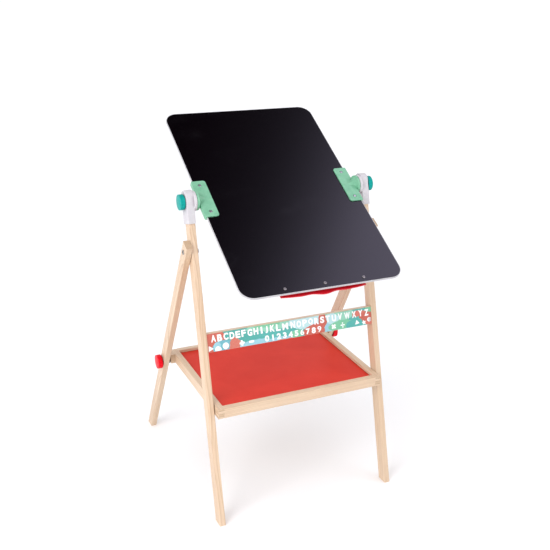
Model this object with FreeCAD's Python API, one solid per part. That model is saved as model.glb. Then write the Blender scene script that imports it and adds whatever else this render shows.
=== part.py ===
import FreeCAD, Part
import os
import math

V = FreeCAD.Vector

# ---------------------------------------------------------------------------
# Driving dimensions, in millimetres and degrees.
# World frame: X across the easel, Y from front to back, Z up. The easel is
# drawn with the board's tilt axis over the origin; the finished nodes are then
# moved by ORIGIN_Y, so the origin is the middle of the footprint, on the floor.
# ---------------------------------------------------------------------------
ORIGIN_Y = -30.68        # tilt axis, ahead of the footprint's middle
PIVOT_H = 742.0          # height of the board's tilt axis
LEG_W = 15.0             # leg thickness across the easel
LEG_D = 28.0             # leg depth, front face to back face
LEG_SPACING = 455.0      # centre to centre of the front legs
FRONT_LEAN = 15.0        # front legs lean back going up
REAR_LEAN = 28.0         # rear legs, opened
LEG_EASE = 1.2           # eased long edges

HINGE_H = 632.0          # height of the rear leg hinges
REAR_TOP = 23.0          # rear leg above its hinge
HINGE_WASHER_T = 1.0

BOARD_W = 400.0
BOARD_H = 600.0
BOARD_T = 5.0
BOARD_R = 31.0           # corner radius
BOARD_TILT = 60.0        # rest tilt, back from vertical
SHEET_T = 0.4            # steel writing sheets
BAND_T = 1.0             # plastic edge band

BRACKET_X0 = 170.0       # inner end of the clamping plates
BRACKET_HALF = 57.0      # half length along the board edge
BRACKET_T = 3.0          # plate thickness
WALL_X = 204.5           # outer face of the bracket side wall
HUB_X = 212.2            # outer face of the bracket hub
HUB_T = 6.4              # hub flange thickness
HUB_R = 22.5
BRACKET_SCREW_X = 187.0
BRACKET_SCREW_Z = 42.0

CAP_X0 = 212.4           # friction face of the post cap
CAP_IN = 219.2           # inner face of the cap's sleeve
CAP_R = 23.6             # friction disc
CAP_ARCH = 9.7           # centre of the arched top, above the axis
CAP_SOCKET = 50.5        # socket length below the axis
CAP_WALL = 2.9

KNOB_R = 18.2
KNOB_T = 13.0             # teal knob thickness
RED_KNOB_T = 14.5
BOLT_R = 3.0             # M6 shanks
RUN = 0.05               # running clearance, on the radius

BAR_TOP = -307.5         # crossbar along the front legs, from the tilt axis
BAR_BOTTOM = -353.0
BAR_N0, BAR_N1 = -9.5, 5.5
STRIP_TOP, STRIP_BOTTOM = -309.2, -352.6
STRIP_T = 2.0

RAIL_TOP = 284.7         # tray frame
RAIL_H = 25.0
RAIL_T = 15.0
TRAY_X = 218.0           # outer face of the side rails
FRONT_IN = -147.8        # inner face of the front rail
BACK_IN = 170.5          # inner face of the back rail
RAIL_END = 189.5         # rear end of the side rails
PANEL_DROP = 7.0
PANEL_T = 3.5
GROOVE = 4.0
TRAY_PIN_H = 265.5       # height of the tray pivots and clamp studs
TRAY_FOLD = 62.0         # tray travel, upward
LEG_FOLD = 39.5          # rear leg travel over the same motion
SLOT_R = 3.25
FINGERS = (0.0, 5.4, 12.8, 20.2, 25.0)    # corner joint lines, up the rail
BLOCK_W = 12.5           # spacer block glued outside each side rail
BLOCK_L = 25.0
COLLAR_R = 8.5           # collar between block and rear leg

CLIP_HALF = 110.0
CLIP_SCREW_X = 97.5
CLIP_SCREW_Z = -287.0
CLIP_PIN_Y = 13.0
CLIP_PIN_Z = -281.0
CLIP_PIN_R = 1.5

LEG_X = LEG_SPACING / 2.0
LEG_IN = LEG_X - LEG_W / 2.0
LEG_OUT = LEG_X + LEG_W / 2.0
REAR_IN = LEG_OUT + HINGE_WASHER_T
REAR_OUT = REAR_IN + LEG_W
TAN_F = math.tan(math.radians(FRONT_LEAN))
COS_F = math.cos(math.radians(FRONT_LEAN))
TAN_R = math.tan(math.radians(REAR_LEAN))
COS_R = math.cos(math.radians(REAR_LEAN))
HINGE_Y = -(PIVOT_H - HINGE_H) * TAN_F
TRAY_PIN_Y = -(PIVOT_H - TRAY_PIN_H) * TAN_F
STUD_Y = HINGE_Y + (HINGE_H - TRAY_PIN_H) * TAN_R


# ---------------------------------------------------------------------------
# Helpers
# ---------------------------------------------------------------------------
def box(x0, x1, y0, y1, z0, z1):
    return Part.makeBox(x1 - x0, y1 - y0, z1 - z0, V(x0, y0, z0))


def cyl_x(r, x0, x1, y=0.0, z=0.0):
    return Part.makeCylinder(r, x1 - x0, V(x0, y, z), V(1, 0, 0))


def cyl_y(r, y0, y1, x=0.0, z=0.0):
    return Part.makeCylinder(r, y1 - y0, V(x, y0, z), V(0, 1, 0))


def hex_x(af, x0, x1, y=0.0, z=0.0):
    r = af / math.sqrt(3.0)
    pts = [V(x0, y + r * math.cos(math.radians(60 * i)), z + r * math.sin(math.radians(60 * i))) for i in range(6)]
    return Part.Face(Part.makePolygon(pts + [pts[0]])).extrude(V(x1 - x0, 0, 0))


def place(shape, angle, y, z):
    """Turn about X at the local origin, then move to (0, y, z)."""
    s = shape.copy()
    s.rotate(V(0, 0, 0), V(1, 0, 0), angle)
    s.translate(V(0, y, z))
    return s


def mirror(shape):
    return shape.mirror(V(0, 0, 0), V(1, 0, 0))


def one(shape):
    """The single solid of a boolean result, cleaned of seam splits."""
    s = shape.removeSplitter()
    if s.ShapeType == "Solid":
        return s
    if len(s.Solids) != 1:
        raise RuntimeError("expected one solid, found %d" % len(s.Solids))
    return s.Solids[0]


def group(shapes):
    out = []
    for s in shapes:
        out.extend(s.Solids)
    return Part.makeCompound(out)


def fillet_dir(shape, direction, r, where=None):
    """Round the straight edges that run along a direction."""
    d = V(*direction)
    picked = []
    for e in shape.Edges:
        if e.Curve.TypeId != "Part::GeomLine":
            continue
        t = e.tangentAt(e.FirstParameter)
        if abs(abs(t.dot(d)) - 1.0) > 1e-4:
            continue
        if where is None or where(e.CenterOfMass):
            picked.append(e)
    return shape.makeFillet(r, picked)


def rounded_plate(w, h, r, y0, y1, zc=0.0):
    s = box(-w / 2, w / 2, y0, y1, zc - h / 2, zc + h / 2)
    return fillet_dir(s, (0, 1, 0), r)


def phillips(s, x, y, z, direction, depth=1.3, arm=4.2, width=0.9):
    """Cross recess in a screw head; direction is +1 or -1 along Y."""
    y0, y1 = (y - 0.1, y + depth) if direction > 0 else (y - depth, y + 0.1)
    a = box(x - arm / 2, x + arm / 2, y0, y1, z - width / 2, z + width / 2)
    b = box(x - width / 2, x + width / 2, y0, y1, z - arm / 2, z + arm / 2)
    return s.cut(a).cut(b)


nodes = {}

front = lambda s: place(s, -FRONT_LEAN, 0, PIVOT_H)       # local Z up the leg, Y to its back
board = lambda s: place(s, -BOARD_TILT, 0, PIVOT_H)       # local Z up the board, Y to its back
rear = lambda s: place(s, REAR_LEAN, HINGE_Y, HINGE_H)    # local Z up the rear leg

floor_cut = box(-600, 600, -900, 900, -200, 0)

# ---------------------------------------------------------------------------
# Front legs: square-edged bars, feet cut level, bored for every fastener
# ---------------------------------------------------------------------------
tray_u = -(PIVOT_H - TRAY_PIN_H) / COS_F      # tray pivot, along the front leg
hinge_u = -(PIVOT_H - HINGE_H) / COS_F
DOWEL_R = 4.0
dowel_u = (BAR_TOP - 13.0, BAR_BOTTOM + 13.0)
bar_nc = (BAR_N0 + BAR_N1) / 2.0

leg = box(LEG_IN, LEG_OUT, -LEG_D / 2, LEG_D / 2, -PIVOT_H / COS_F - 20, 14.0)
leg = fillet_dir(leg, (0, 0, 1), LEG_EASE)
leg = leg.cut(cyl_x(BOLT_R + 0.1, LEG_IN - 1, LEG_OUT + 1))
leg = leg.cut(cyl_x(BOLT_R, LEG_IN - 1, LEG_OUT + 1, 0, hinge_u))
leg = leg.cut(cyl_x(5.0, LEG_IN - 1, LEG_IN + 12.0, 0, tray_u))
for u in dowel_u:
    leg = leg.cut(cyl_x(DOWEL_R, LEG_IN - 1, LEG_IN + 9.0, bar_nc, u))
leg = one(front(leg).cut(floor_cut))
nodes["front_right_leg"] = leg
nodes["front_left_leg"] = one(mirror(leg))

# ---------------------------------------------------------------------------
# Rear legs: outside the front legs, square tops, feet cut level
# ---------------------------------------------------------------------------
stud_l = (HINGE_H - TRAY_PIN_H) / COS_R
r = box(REAR_IN, REAR_OUT, -LEG_D / 2, LEG_D / 2, -HINGE_H / COS_R - 20, REAR_TOP)
r = fillet_dir(r, (0, 0, 1), LEG_EASE)
r = r.cut(cyl_x(BOLT_R + RUN, REAR_IN - 1, REAR_OUT + 1))
r = r.cut(cyl_x(BOLT_R + RUN, REAR_IN - 1, REAR_OUT + 1, 0, -stud_l))
r = one(rear(r).cut(floor_cut))
nodes["rear_right_leg"] = r
nodes["rear_left_leg"] = one(mirror(r))

# ---------------------------------------------------------------------------
# Rear leg hinges: domed bolt, washer between the legs, hex nut inside
# ---------------------------------------------------------------------------
hb = cyl_x(BOLT_R, LEG_IN - 4.8, REAR_OUT, HINGE_Y, HINGE_H)
head = cyl_x(5.8, REAR_OUT, REAR_OUT + 1.8, HINGE_Y, HINGE_H)
head = head.makeFillet(0.9, [e for e in head.Edges if e.Curve.TypeId == "Part::GeomCircle" and e.CenterOfMass.x > REAR_OUT + 1])
hb = one(hb.fuse(head).cut(hex_x(5.0, REAR_OUT - 2.0, REAR_OUT + 2.0, HINGE_Y, HINGE_H)))
nodes["hinge_bolts"] = group([hb, mirror(hb)])
hw = cyl_x(8.0, LEG_OUT, REAR_IN, HINGE_Y, HINGE_H).cut(cyl_x(BOLT_R, LEG_OUT - 1, REAR_IN + 1, HINGE_Y, HINGE_H))
nodes["hinge_washers"] = group([hw, mirror(hw)])
hn = hex_x(10.0, LEG_IN - 4.6, LEG_IN, HINGE_Y, HINGE_H).cut(cyl_x(BOLT_R, LEG_IN - 6, LEG_IN + 1, HINGE_Y, HINGE_H))
hn = hn.common(Part.makeCone(5.2, 10.0, 5.0, V(LEG_IN - 4.6, HINGE_Y, HINGE_H), V(1, 0, 0)))
nodes["hinge_nuts"] = group([hn, mirror(hn)])

# ---------------------------------------------------------------------------
# Crossbar, its dowels and the printed alphabet panel
# ---------------------------------------------------------------------------
bar = box(-LEG_IN, LEG_IN, BAR_N0, BAR_N1, BAR_BOTTOM, BAR_TOP)
bar = fillet_dir(bar, (1, 0, 0), 1.0, lambda c: c.y > 0)
dowels = []
for s in (-1, 1):
    for u in dowel_u:
        x0, x1 = sorted((s * (LEG_IN - 16.0), s * (LEG_IN + 9.0)))
        d = cyl_x(DOWEL_R, x0, x1, bar_nc, u)
        bar = bar.cut(d)
        dowels.append(front(d))
nodes["crossbar"] = one(front(bar))
nodes["crossbar_dowels"] = group(dowels)
strip = box(-LEG_IN, LEG_IN, BAR_N0 - STRIP_T, BAR_N0, STRIP_BOTTOM, STRIP_TOP)
nodes["alphabet_panel"] = one(front(strip))

# ---------------------------------------------------------------------------
# Post caps: an arched sleeve over each front leg top with a friction disc
# ---------------------------------------------------------------------------
cx1 = LEG_OUT + CAP_WALL
ch = LEG_D / 2 + CAP_WALL
cap = box(CAP_IN, cx1, -ch, ch, -CAP_SOCKET, CAP_ARCH)
cap = one(cap.fuse(cyl_x(ch, CAP_IN, cx1, 0, CAP_ARCH)))
rim = [e for e in cap.Edges if abs(e.CenterOfMass.x - cx1) < 0.01 and e.CenterOfMass.z > -CAP_SOCKET + 0.1]
cap = cap.makeFillet(2.4, rim)
disc = cyl_x(CAP_R, CAP_X0, CAP_IN + 0.4)
disc = disc.makeFillet(1.6, [e for e in disc.Edges if e.Curve.TypeId == "Part::GeomCircle"])
cap = cap.fuse(disc)
cap = cap.cut(box(LEG_IN, LEG_OUT, -LEG_D / 2, LEG_D / 2, -CAP_SOCKET - 1, 14.0))
cap = cap.cut(cyl_x(BOLT_R + RUN, CAP_X0 - 1, cx1 + 1))
cap = one(front(cap))
nodes["right_post_cap"] = cap
nodes["left_post_cap"] = one(mirror(cap))

# ---------------------------------------------------------------------------
# Board: fibre core between two thin steel sheets, plastic band round the edge
# ---------------------------------------------------------------------------
h = BOARD_T / 2
inner_w, inner_h, inner_r = BOARD_W - 2 * BAND_T, BOARD_H - 2 * BAND_T, BOARD_R - BAND_T
holes = []
for s in (-1, 1):
    for t in (-1, 1):
        holes.append(cyl_y(2.0, -20, 20, s * BRACKET_SCREW_X, t * BRACKET_SCREW_Z))
for s in (-1, 0, 1):
    holes.append(cyl_y(2.0, -20, 20, s * CLIP_SCREW_X, CLIP_SCREW_Z))
holes = Part.makeCompound(holes)
core = rounded_plate(inner_w, inner_h, inner_r, -h + SHEET_T, h - SHEET_T).cut(holes)
black = rounded_plate(inner_w, inner_h, inner_r, -h, -h + SHEET_T).cut(holes)
white = rounded_plate(inner_w, inner_h, inner_r, h - SHEET_T, h).cut(holes)
band = rounded_plate(BOARD_W, BOARD_H, BOARD_R, -h, h).cut(rounded_plate(inner_w, inner_h, inner_r, -h - 1, h + 1))
nodes["board_core"] = one(board(core))
nodes["chalkboard_face"] = one(board(black))
nodes["whiteboard_face"] = one(board(white))
nodes["board_edge_band"] = one(board(band))

# ---------------------------------------------------------------------------
# Board brackets: channels over the board edges with a flared round hub
# ---------------------------------------------------------------------------
bx = BOARD_W / 2
yt = h + BRACKET_T
chan = box(BRACKET_X0, WALL_X, -yt, yt, -BRACKET_HALF, BRACKET_HALF)
chan = fillet_dir(chan, (0, 1, 0), 6.0, lambda c: c.x < BRACKET_X0 + 1)
chan = fillet_dir(chan, (0, 1, 0), 2.5, lambda c: c.x > WALL_X - 1)
chan = chan.makeFillet(1.0, [e for e in chan.Edges if abs(abs(e.CenterOfMass.y) - yt) < 0.01])
# the flare: a concave skirt from the hub rim down to the plates
hx = HUB_X - HUB_T
prof = [
    Part.makeLine(V(178.0, 0, 0), V(178.0, 6.0, 0)),
    Part.Arc(V(178.0, 6.0, 0), V(198.2, 10.4, 0), V(hx + 0.4, HUB_R - 1.0, 0)).toShape(),
    Part.makeLine(V(hx + 0.4, HUB_R - 1.0, 0), V(hx + 0.4, 0, 0)),
    Part.makeLine(V(hx + 0.4, 0, 0), V(178.0, 0, 0)),
]
skirt = Part.Face(Part.Wire(prof)).revolve(V(0, 0, 0), V(1, 0, 0), 360)
hub = cyl_x(HUB_R, hx, HUB_X)
hub = hub.makeFillet(1.4, [e for e in hub.Edges if e.Curve.TypeId == "Part::GeomCircle"])
br = chan.fuse(skirt).fuse(hub)
br = br.cut(box(100, bx, -h, h, -BRACKET_HALF - 10, BRACKET_HALF + 10))
br = br.cut(hex_x(10.2, bx - 1, bx + 4.4))
br = br.cut(cyl_x(BOLT_R, bx, HUB_X + 1))
for t in (-1, 1):
    br = br.cut(cyl_y(2.0, -20, 20, BRACKET_SCREW_X, t * BRACKET_SCREW_Z))
    br = br.cut(cyl_y(4.3, -yt - 1, -yt + 1.6, BRACKET_SCREW_X, t * BRACKET_SCREW_Z))
    br = br.cut(cyl_y(4.3, yt - 1.6, yt + 1, BRACKET_SCREW_X, t * BRACKET_SCREW_Z))
br = one(board(br))
nodes["right_board_bracket"] = br
nodes["left_board_bracket"] = one(mirror(br))

pb = hex_x(10.0, bx + 0.1, bx + 4.3).fuse(cyl_x(BOLT_R, bx + 4.2, LEG_OUT + CAP_WALL + 9.6))
pb = one(board(pb))
nodes["right_pivot_bolt"] = pb
nodes["left_pivot_bolt"] = one(mirror(pb))

screws, nuts = [], []
for s in (-1, 1):
    for t in (-1, 1):
        x, z = s * BRACKET_SCREW_X, t * BRACKET_SCREW_Z
        hy = -yt + 1.6
        hd = cyl_y(3.6, hy - 1.9, hy, x, z)
        hd = hd.makeFillet(0.9, [e for e in hd.Edges if e.Curve.TypeId == "Part::GeomCircle" and e.CenterOfMass.y < hy - 1.5])
        sc = hd.fuse(cyl_y(2.0, hy - 0.5, yt - 0.2, x, z))
        sc = phillips(sc, x, hy - 1.9, z, 1)
        screws.append(board(one(sc)))
        nt = cyl_y(3.6, yt - 1.6, yt + 0.2, x, z)
        nt = nt.makeFillet(0.8, [e for e in nt.Edges if e.Curve.TypeId == "Part::GeomCircle" and e.CenterOfMass.y > yt])
        nt = nt.cut(cyl_y(2.0, yt - 2, yt - 0.2, x, z))
        nuts.append(board(one(nt)))
nodes["bracket_screws"] = group(screws)
nodes["bracket_nuts"] = group(nuts)

# ---------------------------------------------------------------------------
# Teal clamp knobs on the board's pivot bolts, and the red tray knobs
# ---------------------------------------------------------------------------
def knob(x0, thick, bore_depth, insert_r):
    """A round hand knob along +X from x0: shallow flutes, softly domed face."""
    k = cyl_x(KNOB_R, x0 + 1.0, x0 + thick)
    k = k.makeFillet(1.4, [e for e in k.Edges if e.Curve.TypeId == "Part::GeomCircle"])
    k = k.fuse(cyl_x(11.0, x0, x0 + 2.0))
    k = k.common(Part.makeSphere(130.0, V(x0 + thick - 129.9, 0, 0)))
    for i in range(16):
        a = math.radians(22.5 * i)
        k = k.cut(cyl_x(2.3, x0 + 0.5, x0 + thick - 3.0, 19.9 * math.cos(a), 19.9 * math.sin(a)))
    k = k.cut(cyl_x(insert_r, x0 - 1, x0 + bore_depth))
    return one(k)


knob_x = LEG_OUT + CAP_WALL + 0.3
tk = knob(knob_x, KNOB_T, 10.0, 5.0)
ins = cyl_x(5.0, knob_x, knob_x + 10.0).cut(cyl_x(BOLT_R + RUN, knob_x - 1, knob_x + 11))
nodes["right_teal_knob"] = front(tk)
nodes["left_teal_knob"] = one(mirror(front(tk)))
nodes["right_teal_knob_insert"] = front(ins)
nodes["left_teal_knob_insert"] = one(mirror(front(ins)))

rx0 = REAR_OUT + 1.2
rk = rear(place(knob(rx0, RED_KNOB_T, 9.5, BOLT_R), 0, 0, -stud_l))
stud = rear(cyl_x(BOLT_R, TRAY_X - 13.6, rx0 + 9.5, 0, -stud_l))
wsh = rear(cyl_x(8.0, REAR_OUT, rx0 - 0.1, 0, -stud_l).cut(cyl_x(BOLT_R + RUN, REAR_OUT - 1, rx0 + 1, 0, -stud_l)))
col_x = TRAY_X + BLOCK_W + 0.4
col = cyl_x(COLLAR_R, col_x, REAR_IN, 0, -stud_l)
col = col.makeFillet(0.7, [e for e in col.Edges if e.Curve.TypeId == "Part::GeomCircle" and e.CenterOfMass.x < col_x + 1])
col = rear(col.cut(cyl_x(BOLT_R + RUN, TRAY_X - 1, REAR_IN + 1, 0, -stud_l)))
for name, s in (("red_knob", rk), ("knob_stud", stud), ("knob_washer", wsh), ("leg_collar", col)):
    nodes["right_" + name] = one(s)
    nodes["left_" + name] = one(mirror(s))

# ---------------------------------------------------------------------------
# Tray: finger-jointed frame with a recessed panel
# ---------------------------------------------------------------------------
z0, z1 = RAIL_TOP - RAIL_H, RAIL_TOP
y_front = FRONT_IN - RAIL_T
pz1 = RAIL_TOP - PANEL_DROP
pz0 = pz1 - PANEL_T
groove = box(-(TRAY_X - RAIL_T + GROOVE), TRAY_X - RAIL_T + GROOVE, FRONT_IN - GROOVE, BACK_IN + GROOVE, pz0, pz1)
x_in = TRAY_X - RAIL_T

fr = box(-TRAY_X, TRAY_X, y_front, FRONT_IN, z0, z1)
side = box(x_in, TRAY_X, y_front, RAIL_END, z0, z1)
for i in range(4):
    cell = box(x_in, TRAY_X, y_front - 1, FRONT_IN, z0 + FINGERS[i], z0 + FINGERS[i + 1])
    if i % 2:
        fr = fr.cut(cell).cut(mirror(cell))
    else:
        side = side.cut(cell)
fr = one(fr.cut(groove))
fr = fillet_dir(fr, (1, 0, 0), 1.0, lambda c: c.y < y_front + 0.1 and abs(c.x) < 10 and (c.z > z1 - 0.1 or c.z < z0 + 0.1))
nodes["tray_front_rail"] = fr

side = side.cut(groove)
side = fillet_dir(side, (1, 0, 0), 8.0, lambda c: c.y > RAIL_END - 0.1 and c.z > z1 - 0.1)
side = side.cut(cyl_x(BOLT_R + RUN, x_in - 1, TRAY_X + 1, TRAY_PIN_Y, TRAY_PIN_H))
# open-bottomed slot that lifts off the clamp stud as the tray folds up
path = []
for i in range(9):
    a = math.radians(0.75 * i)
    b = -a * LEG_FOLD / TRAY_FOLD
    dy, dz = STUD_Y - HINGE_Y, TRAY_PIN_H - HINGE_H
    sy = HINGE_Y + dy * math.cos(b) - dz * math.sin(b)
    sz = HINGE_H + dy * math.sin(b) + dz * math.cos(b)
    ty, tz = sy - TRAY_PIN_Y, sz - TRAY_PIN_H
    path.append((TRAY_PIN_Y + ty * math.cos(-a) - tz * math.sin(-a), TRAY_PIN_H + ty * math.sin(-a) + tz * math.cos(-a)))
slot_end = TRAY_X + BLOCK_W + 1
slot = cyl_x(SLOT_R, x_in - 1, slot_end, path[0][0], path[0][1])
for (ya, za), (yb, zb) in zip(path, path[1:]):
    n = math.hypot(yb - ya, zb - za)
    ny, nz = -(zb - za) / n * SLOT_R, (yb - ya) / n * SLOT_R
    pts = [V(x_in - 1, ya + ny, za + nz), V(x_in - 1, yb + ny, zb + nz), V(x_in - 1, yb - ny, zb - nz), V(x_in - 1, ya - ny, za - nz)]
    slot = slot.fuse(Part.Face(Part.makePolygon(pts + [pts[0]])).extrude(V(slot_end - x_in + 1, 0, 0)))
    slot = slot.fuse(cyl_x(SLOT_R, x_in - 1, slot_end, yb, zb))
side = side.cut(slot)
dowel_y, dowel_z = BACK_IN + 7.5, z0 + 7.0
side = one(side.cut(cyl_x(3.0, x_in - 1, x_in + 8.0, dowel_y, dowel_z)))
nodes["tray_right_rail"] = side
nodes["tray_left_rail"] = one(mirror(side))
blk = box(TRAY_X, TRAY_X + BLOCK_W, STUD_Y - BLOCK_L / 2, STUD_Y + BLOCK_L / 2, z0, z1)
blk = blk.makeFillet(1.2, [e for e in blk.Edges if abs(e.CenterOfMass.x - TRAY_X - BLOCK_W) < 0.01])
blk = one(blk.cut(slot))
nodes["tray_right_block"] = blk
nodes["tray_left_block"] = one(mirror(blk))

bk = box(-x_in, x_in, BACK_IN, BACK_IN + RAIL_T, z0, z1)
bk = fillet_dir(bk, (1, 0, 0), 1.0, lambda c: c.y > BACK_IN + 10)
bk = bk.cut(groove)
bdow = []
for s in (-1, 1):
    x0, x1 = sorted((s * (x_in - 14.0), s * (x_in + 8.0)))
    d = cyl_x(3.0, x0, x1, dowel_y, dowel_z)
    bk = bk.cut(d)
    bdow.append(d)
nodes["tray_back_rail"] = one(bk)
nodes["back_rail_dowels"] = group(bdow)

pn = box(-(x_in + GROOVE), x_in + GROOVE, FRONT_IN - GROOVE, BACK_IN + GROOVE, pz0, pz1)
nodes["tray_panel"] = pn

tb = cyl_x(BOLT_R, x_in, LEG_IN + 11.0, TRAY_PIN_Y, TRAY_PIN_H)
th = cyl_x(6.0, x_in - 2.8, x_in, TRAY_PIN_Y, TRAY_PIN_H)
th = th.makeFillet(1.6, [e for e in th.Edges if e.Curve.TypeId == "Part::GeomCircle" and e.CenterOfMass.x < x_in - 2])
tb = tb.fuse(th).cut(hex_x(4.0, x_in - 3.0, x_in - 0.9, TRAY_PIN_Y, TRAY_PIN_H))
tb = one(tb)
nodes["tray_pivot_bolts"] = group([tb, mirror(tb)])
ti = cyl_x(5.0, LEG_IN, LEG_IN + 12.0, TRAY_PIN_Y, TRAY_PIN_H).cut(cyl_x(BOLT_R, LEG_IN - 1, LEG_IN + 11.0, TRAY_PIN_Y, TRAY_PIN_H))
nodes["tray_pivot_inserts"] = group([ti, mirror(ti)])
tw = cyl_x(8.0, TRAY_X + 0.1, LEG_IN, TRAY_PIN_Y, TRAY_PIN_H).cut(cyl_x(BOLT_R, TRAY_X - 1, LEG_IN + 1, TRAY_PIN_Y, TRAY_PIN_H))
nodes["tray_pivot_washers"] = group([tw, mirror(tw)])

# ---------------------------------------------------------------------------
# Paper clip on the whiteboard side: base, sprung lever, pin, springs, screws
# ---------------------------------------------------------------------------
# the clip is drawn with its seat 4 mm from the board's middle, then set on the face
by = 4.0


def seated(s):
    return board(place(s, 0, h - by, 0))


base_t = 3.0
base = box(-CLIP_HALF, CLIP_HALF, by, by + base_t, -298.0, -266.0)
base = fillet_dir(base, (0, 1, 0), 5.0)
lug_w, kn = 4.0, 12.0
for k in (-75.0, 75.0):
    for s in (-1, 1):
        xa = k + s * (kn / 2 + 0.3)
        xb = xa + s * lug_w
        x0, x1 = sorted((xa, xb))
        lug = box(x0, x1, by + 1.0, CLIP_PIN_Y, CLIP_PIN_Z - 4.0, CLIP_PIN_Z + 4.0)
        lug = lug.fuse(cyl_x(3.2, x0, x1, CLIP_PIN_Y, CLIP_PIN_Z))
        base = base.fuse(lug)
# a low boss takes each screw
for s in (-1, 0, 1):
    base = base.fuse(cyl_y(4.6, by + 1.0, by + 6.0, s * CLIP_SCREW_X, CLIP_SCREW_Z))
    base = base.cut(cyl_y(2.0, by - 1, by + 4.5, s * CLIP_SCREW_X, CLIP_SCREW_Z))
base = base.cut(cyl_x(CLIP_PIN_R, -CLIP_HALF, CLIP_HALF, CLIP_PIN_Y, CLIP_PIN_Z))
nodes["clip_base"] = one(seated(base))

pin = cyl_x(CLIP_PIN_R, -88.0, 88.0, CLIP_PIN_Y, CLIP_PIN_Z)
nodes["clip_pin"] = seated(pin)

# lever section, in (y, z) from the jaw round over the pin to the finger edge
lev_half = 106.0
outer = [(by + 0.25, -261.5), (by + 2.8, -260.2), (15.0, -269.0), (18.6, -276.0), (19.2, -286.0), (18.4, -310.0)]
inner = [(15.9, -310.0), (16.7, -286.0), (16.2, -277.0), (12.9, -270.8), (by + 1.6, -263.6)]
pts = [V(-lev_half, y, z) for y, z in outer + inner]
lever = Part.Face(Part.makePolygon(pts + [pts[0]])).extrude(V(2 * lev_half, 0, 0))


def wave(x):
    """Finger edge: a long middle lobe with a low one on each side."""
    ax = abs(x)
    if ax < 33:
        return -298.6 - 5.0 * (0.5 + 0.5 * math.cos(math.pi * ax / 33))
    if ax < 80:
        return -298.6 - 1.2 * (0.5 - 0.5 * math.cos(2 * math.pi * (ax - 33) / 47))
    return -298.6 + 2.8 * min(1.0, (ax - 80) / 26.0)


xs = [-lev_half - 1 + i * (2 * lev_half + 2) / 48.0 for i in range(49)]
curve = Part.BSplineCurve()
curve.interpolate([V(x, 0, wave(x)) for x in xs])
w = Part.Wire([
    curve.toShape(),
    Part.makeLine(V(xs[-1], 0, wave(xs[-1])), V(xs[-1], 0, -330)),
    Part.makeLine(V(xs[-1], 0, -330), V(xs[0], 0, -330)),
    Part.makeLine(V(xs[0], 0, -330), V(xs[0], 0, wave(xs[0]))),
])
lever = lever.cut(Part.Face(w).extrude(V(0, 60, 0)))
for k in (-75.0, 75.0):
    kb = box(k - kn / 2, k + kn / 2, CLIP_PIN_Y, 17.6, CLIP_PIN_Z - 2.8, CLIP_PIN_Z + 2.8)
    lever = lever.fuse(kb).fuse(cyl_x(3.2, k - kn / 2, k + kn / 2, CLIP_PIN_Y, CLIP_PIN_Z))
lever = lever.cut(cyl_x(CLIP_PIN_R + RUN, -lev_half, lev_half, CLIP_PIN_Y, CLIP_PIN_Z))
nodes["clip_lever"] = one(seated(lever))

# two torsion springs on the pin, one leg on the base, one under the lever
springs = []
wire = 0.45
for s in (-1, 1):
    xc = s * 40.0
    turns, pitch, rad = 5.0, 1.3, 2.5
    helix = Part.makeHelix(pitch, pitch * turns, rad)
    helix.rotate(V(0, 0, 0), V(0, 1, 0), 90)
    helix.translate(V(xc - pitch * turns / 2, CLIP_PIN_Y, CLIP_PIN_Z))
    a0 = helix.Vertexes[0].Point
    e0 = helix.Edges[0]
    t0 = e0.tangentAt(e0.FirstParameter)
    sect = Part.Wire([Part.makeCircle(wire, a0, t0)])
    coil = Part.Wire(helix.Edges).makePipeShell([sect], True, True)
    springs.append(seated(coil.Solids[0] if coil.Solids else coil))
nodes["clip_springs"] = group(springs)

cs = []
for s in (-1, 0, 1):
    x, z = s * CLIP_SCREW_X, CLIP_SCREW_Z
    hd = cyl_y(3.6, -h - 1.5, -h, x, z)
    hd = hd.makeFillet(0.9, [e for e in hd.Edges if e.Curve.TypeId == "Part::GeomCircle" and e.CenterOfMass.y < -h - 1.2])
    sc = hd.fuse(cyl_y(2.0, -h - 0.4, h + 4.4, x, z))
    cs.append(board(one(phillips(sc, x, -h - 1.5, z, 1, 1.0))))
nodes["clip_screws"] = group(cs)

# ---------------------------------------------------------------------------
# One STEP file for each node
# ---------------------------------------------------------------------------
os.makedirs("parts", exist_ok=True)
for name in sorted(nodes):
    shape = nodes[name]
    if not shape.isValid():
        raise RuntimeError(name + " is not a valid shape")
    shape = place(shape, 0, ORIGIN_Y, 0)
    shape.exportStep("parts/" + name + ".step")
print(len(nodes), "nodes")
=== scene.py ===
import math

import bmesh
import bpy
from mathutils import Matrix, Vector


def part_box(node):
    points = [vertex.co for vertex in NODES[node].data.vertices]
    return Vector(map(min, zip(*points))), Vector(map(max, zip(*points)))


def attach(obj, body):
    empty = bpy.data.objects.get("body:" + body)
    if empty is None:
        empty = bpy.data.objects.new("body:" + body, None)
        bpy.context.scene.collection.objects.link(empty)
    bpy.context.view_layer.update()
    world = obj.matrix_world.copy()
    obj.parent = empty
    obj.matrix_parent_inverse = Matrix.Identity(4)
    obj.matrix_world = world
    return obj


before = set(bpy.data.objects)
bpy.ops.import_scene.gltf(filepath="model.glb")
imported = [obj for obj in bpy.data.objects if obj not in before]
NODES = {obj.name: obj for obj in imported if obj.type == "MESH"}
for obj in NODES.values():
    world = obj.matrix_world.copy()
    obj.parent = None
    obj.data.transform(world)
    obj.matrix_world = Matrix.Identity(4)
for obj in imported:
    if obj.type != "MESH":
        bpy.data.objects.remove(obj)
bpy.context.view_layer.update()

MM = 0.001
AHEAD = -0.03068                         # the tilt axis lies this far forward of the origin
PIVOT = Vector((0.0, AHEAD, 0.742))      # the board's tilt axis
FRONT_A = math.radians(-15.0)            # front legs, about X
REAR_A = math.radians(28.0)              # rear legs, about X
BOARD_A = math.radians(-60.0)            # board at rest, about X


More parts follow.
